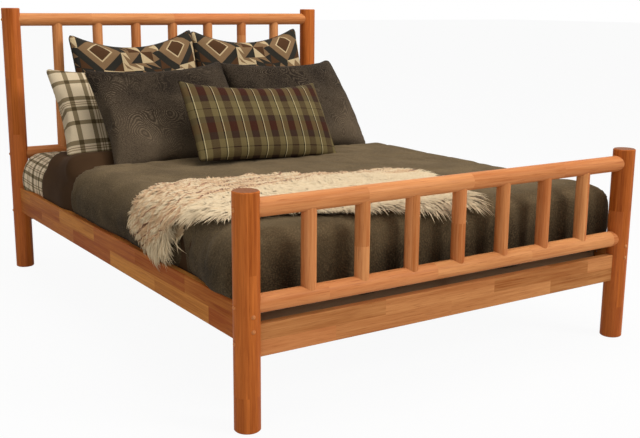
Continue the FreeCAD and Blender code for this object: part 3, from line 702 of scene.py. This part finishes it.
def make_sheet(mattress):
    """The fitted sheet, tight over the mattress with slack in its sides."""
    def keep(place):
        return place.z > mattress_low.z + sheet_hem

    def shift(place):
        side = ease(mattress_high.z - place.z, *below_top)
        slack = noise.noise(Vector((place.x * 9, place.y * 9, place.z * 3)))
        return side * sheet_slack * (0.5 + slack)

    piece = cover("fitted_sheet_cloth", mattress, sheet_gap, keep, shift)
    unroll(piece, mattress_low, mattress_high)
    thicken(piece, cloth_thickness)
    piece.data.materials.append(plaid_cloth("sheet_plaid", cream_bands, cream_bands, cream))
    finish_piece(piece, "cream_plaid", "fitted_sheet")


def blanket_edge(place):
    """How far towards the head the blanket reaches."""
    return blanket_head + head_ripple * noise.noise(Vector((place.x * 6, place.z * 9, 1.7)))


def blanket_rise(place):
    """How much higher the blanket lies at the left, where it is folded over."""
    along = ease(place.y, *fold_front) * (1 - ease(place.y, blanket_head - fold_end, blanket_head))
    behind = 1 - fold_back_loss * ease(place.y, *fold_back)
    return blanket_fold * along * behind * ease(-place.x, *fold_left)


def hang_foot(piece):
    """Draws the foot edge of the blanket down past the mattress, between it and the plank."""
    for vert in piece.data.vertices:
        if vert.co.y < mattress_low.y + foot_band:
            below = 1 - ease(vert.co.z, mattress_low.z, mattress_low.z + foot_drop_height)
            vert.co.z -= foot_drop * below
            vert.co.y = min(vert.co.y, mattress_low.y - foot_clearance * below)


def make_blanket(mattress):
    """A smooth dark blanket tucked in between the mattress and the planks."""
    def keep(place):
        return place.z > mattress_low.z + blanket_hem and place.y < blanket_edge(place)

    def shift(place):
        side = ease(blanket_high.z - place.z, *below_top)
        fold = noise.noise(Vector((place.x * 5, place.y * 7, place.z * 2.5)))
        top = noise.noise(Vector((place.x * 4, place.y * 6, 3.1))) * top_ripple
        raised = blanket_rise(place) * ease(place.z, mattress_high.z - rise_height, mattress_high.z)
        return top + raised + side * side_fold * (0.8 + fold)

    def trim(place):
        if place.z < mattress_low.z + blanket_trim:
            return Vector((place.x, place.y, mattress_low.z + tuck_height))
        return Vector((place.x, blanket_edge(place), place.z))

    piece = cover("blanket_cloth_piece", mattress, blanket_gap, keep, shift, trim)
    hang_foot(piece)
    thicken(piece, blanket_thickness)
    surface = Surface("blanket_microfibre", roughness=0.85, sheen=0.0, gloss=0.06)
    nap = surface.noise(surface.place(), 700.0, 2.0, 0.5)
    cloudy = surface.noise(surface.place(), 5.0, 3.0, 0.5)
    colour = surface.mix(surface.span(cloudy, 0.3, 0.7), tone(54, 37, 22), tone(68, 48, 30))
    up = surface.split(surface.place())[2]
    # A lighter hem band: partly the hem's own binding, partly painted light low at the foot
    painted_light_hem = surface.span(up, *(mattress_low.z + height for height in painted_light_hem_band))
    colour = surface.mix(painted_light_hem, colour, tone(150, 124, 96))
    piece.data.materials.append(surface.shade(colour, None, surface.bump(nap, nap_depth, 0.5)))
    finish_piece(piece, "blanket_cloth", "blanket")


# Comforter

def make_comforter():
    """A thick soft cover with slow wrinkles and one deep fold at its left foot corner."""
    piece = remeshed("comforter_quilt", copy_of("comforter"), comforter_cell, None)
    mesh = piece.data
    moves = []
    for vert in mesh.vertices:
        place = vert.co
        outward = vert.normal
        slow = noise.noise(Vector((place.x * 3.1, place.y * 3.7, place.z * 3.0)))
        crease = noise.noise(Vector((place.x * 9.0 + 2.0, place.y * 7.0, place.z * 4.0)))
        crease = 1 - min(abs(crease) * 4.0, 1.0)
        lift = comforter_wrinkle * slow - comforter_wrinkle * crease
        fold = hump(place.y, corner_fold, corner_fold_width) * ease(-outward.x, *corner_fold_face)
        fold *= ease(place.z, *corner_fold_foot) * (1 - ease(place.z, *corner_fold_top))
        fold *= ease(-place.x, *corner_fold_left)
        wave = noise.noise(Vector((place.x * 7.0, 0.4, place.z * 1.5))) * ease(-outward.y, *foot_face)
        moves.append(outward * (lift + foot_wave * wave - corner_fold_depth * fold))
    for vert, move in zip(mesh.vertices, moves):
        vert.co += move
        vert.co.x = max(vert.co.x, comforter_low.x - comforter_wrinkle)
        vert.co.x = min(vert.co.x, comforter_high.x + comforter_wrinkle)
    piece.data.materials.append(plush_cloth("comforter_pile", *comforter_pile))
    finish_piece(piece, "comforter_cloth", "comforter")
    return piece


# Fur throw

def tree_of_places(places):
    tree = kdtree.KDTree(len(places))
    for index, place in enumerate(places):
        tree.insert(place, index)
    tree.balance()
    return tree


def pelt_rim(mesh, outer):
    """A search tree of the edge where the outer side of the pelt meets its under side."""
    rim = [edge.vertices[0] for edge in mesh.edges if outer[edge.vertices[0]] != outer[edge.vertices[1]]]
    return tree_of_places([mesh.vertices[vertex].co for vertex in rim])


def fur_flow(place, normal, edge, outward):
    """Which way the fur lies: out from the throw's middle and down, and straight out at its edge."""
    middle = (throw_low + throw_high) / 2
    reach = (throw_high - throw_low) / 2
    out = Vector(((place.x - middle.x) / reach.x * fur_spread,
                  (place.y - middle.y + fur_middle_shift) / reach.y, -fur_droop))
    out = out.lerp(outward * fur_edge_pull, fur_edge_share * edge)
    out.z -= fur_fall
    wave = fur_wave * noise.noise_vector(place * fur_wave_rate)
    out += wave + fur_curl * noise.noise_vector(place * fur_curl_rate)
    flow = out - normal * out.dot(normal)
    return flow.normalized()


def fur_lock():
    """One tapered lock of three sides, as high as 1 and as wide as 2 at its root."""
    bm = bmesh.new()
    bmesh.ops.create_cone(bm, cap_ends=True, cap_tris=True, segments=3, radius1=1.0, radius2=0.0, depth=1.0)
    bmesh.ops.remove_doubles(bm, verts=bm.verts[:], dist=1e-4)
    rise = [edge for edge in bm.edges if abs(edge.verts[0].co.z - edge.verts[1].co.z) > 0.5]
    bmesh.ops.subdivide_edges(bm, edges=rise, cuts=3)
    bmesh.ops.translate(bm, verts=bm.verts[:], vec=(0, 0, 0.5))
    return bm


def make_fur(pelt, outer, material):
    """Locks over the outer side of the pelt, longer along its edges."""
    draw = random.Random(fur_seed)
    noise.seed_set(fur_seed)  # noise_vector starts from the clock until it is seeded
    mesh = pelt.data
    rim = pelt_rim(mesh, outer)
    reaches = [rim.find(vert.co)[2] for vert in mesh.vertices]
    middles = tree_of_places([vert.co for vert, reach in zip(mesh.vertices, reaches) if reach > fringe_reach])
    rooted = [out and reach > pelt_thickness / 2 for out, reach in zip(outer, reaches)]
    faces = [face for face in mesh.polygons
             if all(rooted[vertex] for vertex in face.vertices) and face.normal.z > -0.2
             and face.normal.dot((face.center - middles.find(face.center)[0]).normalized()) < 0.5]
    reach = sum(face.area for face in faces)
    roots = []
    owed = 0.0
    for face in faces:
        owed += lock_count * face.area / reach
        corners = [mesh.vertices[vertex].co for vertex in face.vertices]
        while owed >= 1.0:
            owed -= 1.0
            a, b = draw.random(), draw.random()
            low_side = corners[0].lerp(corners[1], a)
            high_side = corners[-1].lerp(corners[2], a)
            roots.append((low_side.lerp(high_side, b), face.normal.copy()))
    draw.shuffle(roots)
    pieces = []
    share = -(-len(roots) // fur_pieces)
    for number in range(fur_pieces):
        own = roots[number * share:(number + 1) * share]
        pieces.append(fur_piece(f"fur_locks_{number + 1}", own, rim, middles, draw, material))
    return pieces


def fur_piece(name, roots, rim, middles, draw, material):
    """One lock on every root, as one piece."""
    piece = new_piece(name, fur_lock(), material, smooth=True)
    profile = [vert.co.copy() for vert in piece.data.vertices]
    copies = piece.modifiers.new("locks", "ARRAY")
    copies.count = len(roots)
    copies.use_relative_offset = False
    baked(piece)
    places, tones, heights, facing = [], [], [], []
    for root, normal in roots:
        edge = 1 - ease(rim.find(root)[2], 0.0, fringe_reach)
        beside = max(1 - ease(root.x, *long_left), ease(-root.y, *long_front))
        fringe = short_fringe + (long_fringe - short_fringe) * (1 - ease(root.y, *long_foot)) * beside
        length = (field_length + (fringe - field_length) * edge) * draw.uniform(*length_range)
        flow = fur_flow(root, normal, edge, (root - middles.find(root)[0]).normalized())
        side = normal.cross(flow)
        lift = draw.uniform(*lift_range) * (1 - 0.4 * edge)
        curl = draw.uniform(*curl_range)
        width = lock_width * draw.uniform(*width_range) / 2
        shade = draw.uniform(*shade_range)
        for point in profile:
            t = point.z
            bow = lift * math.sin(math.pi * min(t * 0.75 + 0.1, 1.0))
            centre = root + length * (t * flow + bow * normal + curl * t * t * side) - lock_sink * normal
            swell = width * (1 + 0.6 * math.sin(math.pi * t))
            places.extend(centre + side * (point.x * swell) + normal * (point.y * swell * 0.6))
            tones.append(shade)
            heights.append(t)
            facing.append((normal + fur_lift + (side * point.x + normal * point.y) * 0.5).normalized())
    mesh = piece.data
    mesh.vertices.foreach_set("co", places)
    for key, values in (("fur_shade", tones), ("fur_height", heights)):
        mesh.attributes.new(key, "FLOAT", "POINT").data.foreach_set("value", values)
    for face in mesh.polygons:
        face.use_smooth = True
    mesh.update()
    mesh.normals_split_custom_set_from_vertices(facing)
    return piece


def fur_material(name, under):
    """Cream fur with thin brown wavy lines along the throw in its far half."""
    surface = Surface(name, roughness=0.85, sheen=0.25, gloss=0.1)
    place = surface.place()
    x, y, z = surface.split(place)
    wander = surface.stretched(place, (2.2, 1.0, 2.2), 1.0)
    ripple = surface.stretched(place, (9.0, 5.0, 9.0), 2.0)
    across = surface.plus(y, wander, streak_wander, -streak_wander / 2)
    across = surface.plus(across, ripple, streak_ripple, -streak_ripple / 2)
    for way, bend in ((x, left_bend), (x, right_bend), (z, hanging_bend)):
        across = surface.total(across, surface.span(way, *bend))
    phase = surface.maths("FRACT", surface.maths("DIVIDE", across, streak_spacing))
    line = surface.maths("ABSOLUTE", surface.maths("SUBTRACT", phase, 0.5))
    strength = surface.span(surface.stretched(place, (4.0, 14.0, 6.0), 1.0), 0.3, 0.6, 0.25, 1.0)
    brown = surface.times(surface.span(line, 0.13, 0.04), strength)
    tan = surface.span(surface.stretched(place, (8.0, 60.0, 30.0), 2.0), 0.40, 0.72, 0.0, 0.50)
    brown = surface.maths("MAXIMUM", brown, tan)
    streaked = surface.span(across, plain_edge - plain_blur, plain_edge + plain_blur)
    brown = surface.times(brown, streaked)
    # Painted shade: the pelt under the locks is darker, by a shift of its hue and a darker multiply, for the
    # shade beneath the fur
    shade = 0.15 if under else surface.add("Attribute", out=2, attribute_name="fur_shade")
    hue = surface.ramp(surface.total(brown, shade), *fur_stops)
    if under:
        return surface.shade(surface.mix(1.0, hue, tone(214, 204, 190), "MULTIPLY"))
    height = surface.add("Attribute", out=2, attribute_name="fur_height")
    # Painted shade: each lock is darker towards its root, where the locks shade one another
    rooted = surface.ramp(height, (0.0, tone(232, 219, 200)), (0.4, 1.0))
    return surface.shade(surface.mix(1.0, hue, rooted, "MULTIPLY"))


def drawn_in(place, goals, reach):
    """Where a place on the pelt moves, so that it ends inside the throw's outline and the fringe reaches it.
    The goals are the places well inside the pelt."""
    if reach < 2 * fringe_inset:
        place = place.lerp(goals.find(place)[0], 0.5)
    near = ease(-place.y, *near_foot) * (1 - ease(place.x, *near_left)) * ease(place.z, *near_top)
    far = ease(place.y, *far_along) * (1 - ease(place.x, *far_left))
    right = ease(place.x, *right_along)
    return place + Vector((-right_trim * right, near_trim * near - far_trim * far, 0.0))


def make_throw(comforter):
    """The pelt of the throw with its fur, lying over the comforter's foot corner."""
    piece = remeshed("fur_throw_pelt", copy_of("fur_throw"), throw_cell, fur_material("fur_pelt", True))
    under = tree_of(comforter)
    mesh = piece.data
    heights = []
    for vert in mesh.vertices:
        place, normal, index, distance = under.find_nearest(vert.co)
        facing = vert.normal.dot(normal)
        least = pelt_thickness if facing > 0.5 else 0.0
        most = pelt_thickness if facing > -0.5 else 0.3 * pelt_thickness
        heights.append(min(max(distance, least), most))
    outer = [height > pelt_thickness * 0.6 for height in heights]
    rim = pelt_rim(mesh, outer)
    reaches = [rim.find(vert.co)[2] for vert in mesh.vertices]
    goals = [vert.co for vert, reach in zip(mesh.vertices, reaches) if reach >= 2 * fringe_inset]
    goals = tree_of_places(goals)
    for vert, reach, height in zip(mesh.vertices, reaches, heights):
        place, normal = under.find_nearest(drawn_in(vert.co, goals, reach))[:2]
        vert.co = place + normal * height
    mesh.update()
    finish_piece(piece, "fur", "fur_throw")
    locks = make_fur(piece, outer, fur_material("fur_locks", False))
    for lock in locks:
        finish_piece(lock, "fur")


# Pillows

def pillow_case(name, width, height, thickness, dip, corner):
    """A stuffed case lying flat: crowned, with round corners and a top edge that dips between them."""
    bm = bmesh.new()
    columns, rows = round(width / pillow_cell), round(height / pillow_cell)
    bmesh.ops.create_grid(bm, x_segments=columns, y_segments=rows, size=0.5)
    flat = bm.loops.layers.uv.new("cloth")
    seam = bm.verts.layers.float.new("seam")
    for face in bm.faces:
        for loop in face.loops:
            loop[flat].uv = (loop.vert.co.x * width, loop.vert.co.y * height)
    for vert in bm.verts:
        x, y = vert.co.x * 2, vert.co.y * 2
        beyond = Vector((abs(x) * width / 2 - width / 2 + corner, abs(y) * height / 2 - height / 2 + corner))
        if min(beyond) > 0 and beyond.length > corner:
            beyond = beyond.normalized() * corner
        vert.co.x = math.copysign(width / 2 - corner + beyond.x, x)
        vert.co.y = math.copysign(height / 2 - corner + beyond.y, y) - dip * (1 - abs(x) ** 2.2) * (y + 1) / 2
        vert.co.z = 0.5 * thickness * ((1 - abs(x) ** 2.6) * (1 - abs(y) ** 2.6)) ** 0.6
        vert[seam] = 1.0 if vert.is_boundary else 0.0
    back = bmesh.ops.duplicate(bm, geom=bm.verts[:] + bm.edges[:] + bm.faces[:])["geom"]
    for vert in back:
        if isinstance(vert, bmesh.types.BMVert):
            vert.co.z = -vert.co.z
    bmesh.ops.reverse_faces(bm, faces=[face for face in back if isinstance(face, bmesh.types.BMFace)])
    bmesh.ops.remove_doubles(bm, verts=bm.verts[:], dist=merge_distance)
    return new_piece(name, bm, smooth=True)


def stuff(piece, pressure, tension, bend, growth, frames):
    """Blows the case up as cloth, so that its seams pucker."""
    cloth = piece.modifiers.new("stuffing", "CLOTH")
    settings = cloth.settings
    settings.quality = cloth_quality
    settings.mass = cloth_mass
    settings.tension_stiffness = tension
    settings.compression_stiffness = tension
    settings.shear_stiffness = 0.4 * tension
    settings.bending_stiffness = bend
    settings.use_pressure = True
    settings.uniform_pressure_force = pressure
    settings.shrink_min = -growth
    settings.effector_weights.gravity = 0
    cloth.point_cache.frame_start = 1
    cloth.point_cache.frame_end = frames
    for step in range(1, frames + 1):
        bpy.context.scene.frame_set(step)
    baked(piece)
    bpy.context.scene.frame_set(1)


def extent(piece):
    places = [vert.co for vert in piece.data.vertices]
    low = Vector([min(place[axis] for place in places) for axis in range(3)])
    return low, Vector([max(place[axis] for place in places) for axis in range(3)])


def prop_up(piece, form):
    """Brings a case to its size, leans it where it stands, and says which way is behind it."""
    width, height, thickness, dip, corner, lean, yaw, roll, middle, front, top = form
    low, high = extent(piece)
    share = Vector((width / (high.x - low.x), height / (high.y - low.y), thickness / (high.z - low.z)))
    piece.data.transform(Matrix.Diagonal(share.to_4d()))
    turn = (Matrix.Rotation(math.radians(yaw), 4, "Z") @ Matrix.Rotation(math.radians(-lean), 4, "X")
            @ Matrix.Rotation(math.radians(roll), 4, "Y") @ Matrix.Rotation(math.pi / 2, 4, "X"))
    piece.data.transform(turn)
    low, high = extent(piece)
    move = Vector((middle - (low.x + high.x) / 2, front - low.y, top - high.z))
    piece.data.transform(Matrix.Translation(move))
    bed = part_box(piece.name.replace("_cover", ""))[0].z
    for vert in piece.data.vertices:
        vert.co.z = max(vert.co.z, bed + blanket_rise(vert.co))
    return turn.to_3x3() @ Vector((0, 0, -1))


def inside(tree, place):
    """True where a ray to one side crosses the closed shape an odd number of times."""
    crossings = 0
    start = place.copy()
    way = probe_way.normalized()
    while crossings < most_crossings:
        hit = tree.ray_cast(start, way)[0]
        if hit is None:
            break
        crossings += 1
        start = hit + way * merge_distance
    return crossings % 2 == 1


def keep_clear(piece, trees, backward):
    """Presses a piece back where what leans on it would cut into it."""
    for vert in piece.data.vertices:
        for tree in trees:
            place = tree.find_nearest(vert.co, press_reach)[0]
            if place is None or not inside(tree, vert.co):
                continue
            wall = tree.ray_cast(vert.co, backward)[0]
            vert.co = (place if wall is None else wall) + backward * press_gap


def make_pillow(node, material, slot, firmness, in_front=()):
    """One pillow, stuffed, propped up, and pressed back by the pieces in front of it."""
    form = pillow_forms[node]
    piece = pillow_case(node + "_cover", *form[:5])
    stuff(piece, **firmness)
    backward = prop_up(piece, form)
    keep_clear(piece, [tree_of(other) for other in in_front], backward)
    piece.data.materials.append(material)
    finish_piece(piece, slot, node)
    return piece


def plush_cloth(name, dark, light, scale, ring_count, ring_strength, brushed):
    """Short pile embossed with wandering rings, and painted lighter or darker by its height as painted light
    and shade.
    """
    surface = Surface(name, roughness=0.95, sheen=0.02, gloss=0.05)
    place = surface.place()
    x, y, up = surface.split(place)
    field = surface.maths("MULTIPLY_ADD", x, 1.1, surface.noise(place, scale, 1.2, 0.5))
    rings = surface.sine(field, ring_count)
    dots = surface.noise(place, 210.0, 0.0, 0.5)
    rings = surface.times(rings, surface.span(dots, 0.35, 0.62, 0.15, 1.0))
    pile = surface.noise(place, 900.0, 1.0, 0.5)
    worn = surface.noise(place, 7.0, 2.0, 0.5)
    clear = surface.span(surface.noise(place, 4.0, 1.0, 0.5), 0.30, 0.60, 0.10, ring_strength)
    level = surface.times(rings, clear)
    for value, share, shift in ((dots, 0.5, -0.25), (pile, 0.3, -0.15), (worn, 0.6, 0.2)):
        level = surface.plus(level, value, share, shift)
    # Painted light and shade: the pile is lighter or darker by height, standing in for how light falls on
    # tops and sides
    level = surface.total(level, surface.span(up, *brushed))
    colour = surface.mix(surface.span(level, 0.1, 0.9), dark, light)
    height = surface.maths("MULTIPLY_ADD", rings, 1.6 * ring_strength, dots)
    height = surface.maths("MULTIPLY_ADD", pile, 0.4, height)
    return surface.shade(colour, None, surface.bump(height, pile_depth, 0.7))


def plaid_cloth(name, warp, weft, ground=None):
    """Woven plaid with a fine twill: bands half over half, or shades of them over a ground colour."""
    surface = Surface(name, roughness=0.9, gloss=0.1)
    u, v = surface.split(surface.cloth())[:2]
    across, up = (banded(surface, way, bands) for way, bands in ((u, warp), (v, weft)))
    twill = surface.sine(surface.total(u, v), 2 * math.pi / twill_width)
    if ground:
        colour = surface.mix(1.0, across, up, "MULTIPLY")
        colour = surface.mix(1.0, colour, ground, "MULTIPLY")
    else:
        colour = surface.mix(surface.maths("MULTIPLY_ADD", twill, 0.08, 0.34), across, up)
    fuzz = surface.noise(surface.place(), 500.0, 2.0, 0.6)
    colour = surface.mix(0.35, colour, surface.ramp(fuzz, (0.3, 0.55), (0.7, 1.0)), "MULTIPLY")
    height = surface.maths("MULTIPLY_ADD", twill, 0.5, fuzz)
    return surface.shade(colour, None, surface.bump(height, thread_depth, 0.6))


def banded(surface, way, bands):
    """The colours of bands of a width and a tone each, repeated along one way of the cloth."""
    starts = [sum(width for width, colour in bands[:number]) for number in range(len(bands) + 1)]
    repeat = starts[-1]
    stops = [(start / repeat, colour) for start, (width, colour) in zip(starts, bands)]
    return surface.ramp(surface.maths("FRACT", surface.maths("DIVIDE", way, repeat)), *stops, steps=True)


def patterned_cloth():
    """Woven quilt blocks: outlined diamonds and pinwheels, in black, brown, tan and cream."""
    surface = Surface("geometric_cloth", roughness=0.9, gloss=0.1)
    u, v = surface.split(surface.cloth())[:2]
    across = surface.maths("DIVIDE", surface.total(u, quilt_shift[0]), quilt_block)
    up = surface.maths("DIVIDE", surface.total(v, quilt_shift[1]), quilt_block)
    p = surface.maths("SUBTRACT", surface.maths("FRACT", across), 0.5)
    q = surface.maths("SUBTRACT", surface.maths("FRACT", up), 0.5)
    a, b = surface.maths("ABSOLUTE", p), surface.maths("ABSOLUTE", q)
    cells = surface.total(surface.maths("FLOOR", across), surface.maths("FLOOR", up))
    second = surface.maths("GREATER_THAN", surface.maths("PINGPONG", cells, 1.0), 0.5)
    diamond = surface.ramp(surface.total(a, b), *diamond_stops, steps=True)
    corner = surface.maths("GREATER_THAN", surface.times(p, q), 0.0)
    sail = surface.mix(corner, quilt_cream, quilt_black)
    sail = surface.mix(surface.maths("GREATER_THAN", a, b), sail, surface.mix(corner, quilt_brown, quilt_tan))
    reach = surface.maths("MAXIMUM", a, b)
    tooth = surface.maths("FRACT", surface.times(surface.total(p, q), 4.0))
    toothed = surface.maths("LESS_THAN", tooth, surface.span(reach, 0.30, 0.48))
    border = surface.mix(toothed, quilt_tan, surface.mix(corner, quilt_black, quilt_cream))
    pinwheel = surface.mix(surface.maths("GREATER_THAN", reach, 0.30), sail, border)
    colour = surface.mix(second, diamond, pinwheel)
    weave = surface.sine(v, 2 * math.pi / weave_width)
    fuzz = surface.noise(surface.place(), 400.0, 2.0, 0.6)
    colour = surface.mix(0.5, colour, surface.ramp(fuzz, (0.3, 0.5), (0.7, 1.0)), "MULTIPLY")
    cord = surface.span(surface.add("Attribute", out=2, attribute_name="seam"), 0.62, 0.72)
    colour = surface.mix(cord, colour, cord_tone)
    height = surface.maths("MULTIPLY_ADD", weave, 0.5, fuzz)
    return surface.shade(colour, None, surface.bump(height, thread_depth, 0.6))


def make_pillows():
    """The seven pillows, front to back, so that each is pressed by those in front of it."""
    geometric = patterned_cloth()
    plaid = plaid_cloth("sham_plaid", sham_bands, sham_bands, sham_cream)
    plush = plush_cloth("plush", *pillow_plush)
    lumbar_plaid = plaid_cloth("lumbar_plaid", across_bands, up_bands)
    lumbar = make_pillow("lumbar_pillow", lumbar_plaid, "olive_plaid", eared_stuffing)
    left = make_pillow("plush_pillow_left", plush, "plush", soft_stuffing, [lumbar])
    right = make_pillow("plush_pillow_right", plush, "plush", soft_stuffing, [lumbar, left])
    pressing = [left, right]
    for side in ("left", "right"):
        pressing.append(make_pillow("plaid_sham_" + side, plaid, "cream_plaid", soft_stuffing, pressing))
    pressing = pressing[2:]
    for side in ("left", "right"):
        name = "patterned_pillow_" + side
        pressing.append(make_pillow(name, geometric, "geometric_cloth", eared_stuffing, pressing))


# Made in order: frame first, then what lies on it

photo_camera()
studio()
dress_frame()
mattress = make_mattress()
make_sheet(mattress)
make_blanket(mattress)
comforter = make_comforter()
make_throw(comforter)
make_pillows()
